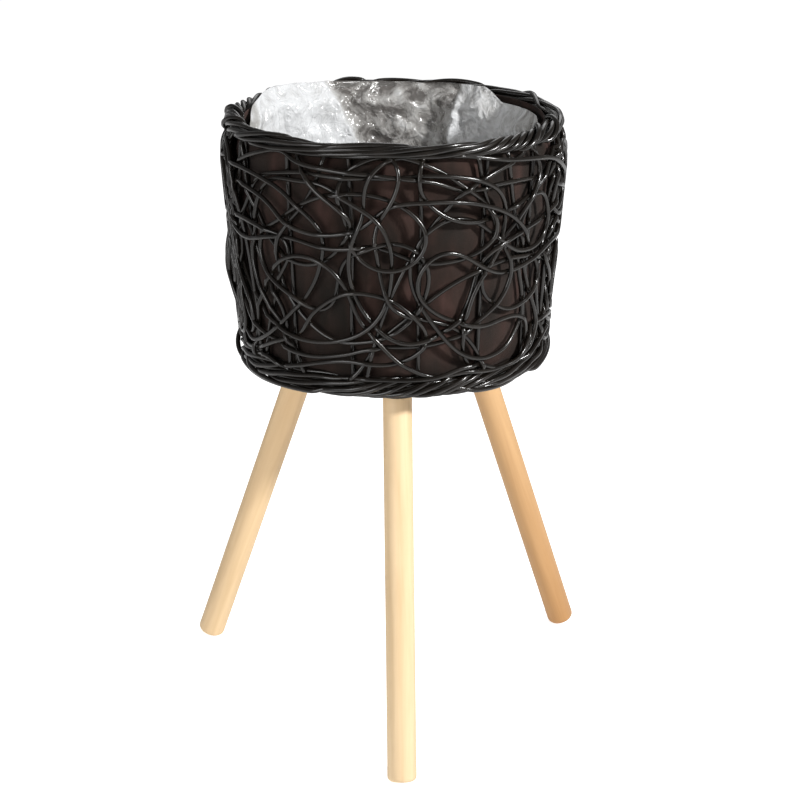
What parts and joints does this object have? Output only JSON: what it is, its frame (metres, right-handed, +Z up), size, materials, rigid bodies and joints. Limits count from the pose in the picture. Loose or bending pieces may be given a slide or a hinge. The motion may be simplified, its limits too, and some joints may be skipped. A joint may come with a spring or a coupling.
{
  "type": "planter with stand",
  "caption": "Round nest-woven cane planter basket with cloth lining and lift-out film liner, standing on splayed wooden dowel legs that unscrew from plates under its board.",
  "frame": {"origin": "on the floor under the axis of the basket, in the middle of the stand", "axes": "+Z up along the axis of the basket; the front leg stands out close to -Y, +X to its right seen from the front"},
  "size_m": [0.3179, 0.3067, 0.465],
  "materials": {
    "cane": "semi-gloss extruded round cane",
    "hoop": "black paint",
    "lining": "dark brown non-woven cloth",
    "film": "clear crumpled film",
    "plywood": "raw",
    "leg_wood": "natural, satin",
    "plate_steel": "zinc plated",
    "bolt_steel": "zinc plated"
  },
  "bodies": {
    "basket": {"base_board": "plywood", "wall_stakes": "cane", "cloth_lining": "lining", "weave_cane_1": "cane", "weave_cane_2": "cane", "weave_cane_3": "cane", "weave_cane_4": "cane", "weave_cane_5": "cane", "top_rim_core": "hoop", "top_rim_cane_1": "cane", "top_rim_cane_2": "cane", "top_rim_cane_3": "cane", "top_rim_cane_4": "cane", "foot_rim_core": "hoop", "foot_rim_cane_1": "cane", "foot_rim_cane_2": "cane", "foot_rim_cane_3": "cane", "foot_rim_cane_4": "cane", "leg_plate_1": "plate_steel", "leg_plate_2": "plate_steel", "leg_plate_3": "plate_steel"},
    "liner": {"film_liner": "film"},
    "bolt_1": {"hanger_bolt_1": "bolt_steel"},
    "dowel_1": {"leg_1": "leg_wood"},
    "bolt_2": {"hanger_bolt_2": "bolt_steel"},
    "dowel_2": {"leg_2": "leg_wood"},
    "bolt_3": {"hanger_bolt_3": "bolt_steel"},
    "dowel_3": {"leg_3": "leg_wood"}
  },
  "joints": [
    {"name": "liner_lift", "type": "slide", "parent": "basket", "child": "liner", "axis": [0, 0, 1], "range_m": [0, 0.18]},
    {"name": "leg_1_travel", "type": "slide", "parent": "basket", "child": "bolt_1", "axis": [0.0121, -0.3465, -0.938], "range_m": [0, 0.015]},
    {"name": "leg_1_turn", "type": "hinge", "parent": "bolt_1", "child": "dowel_1", "pos_m": [0.00602, -0.17231, 0.00269], "axis": [0.0121, -0.3465, -0.938], "range_deg": [0, 4320]},
    {"name": "leg_2_travel", "type": "slide", "parent": "basket", "child": "bolt_2", "axis": [0.2874, 0.1939, -0.938], "range_m": [0, 0.015]},
    {"name": "leg_2_turn", "type": "hinge", "parent": "bolt_2", "child": "dowel_2", "pos_m": [0.14294, 0.09642, 0.00269], "axis": [0.2874, 0.1939, -0.938], "range_deg": [0, 4320]},
    {"name": "leg_3_travel", "type": "slide", "parent": "basket", "child": "bolt_3", "axis": [-0.3142, 0.1465, -0.938], "range_m": [0, 0.015]},
    {"name": "leg_3_turn", "type": "hinge", "parent": "bolt_3", "child": "dowel_3", "pos_m": [-0.15626, 0.07287, 0.00269], "axis": [-0.3142, 0.1465, -0.938], "range_deg": [0, 4320]}
  ],
  "couplings": [
    {"joint": "leg_1_turn", "follows": "leg_1_travel", "rad_per_m": 5026.5},
    {"joint": "leg_2_turn", "follows": "leg_2_travel", "rad_per_m": 5026.5},
    {"joint": "leg_3_turn", "follows": "leg_3_travel", "rad_per_m": 5026.5}
  ]
}
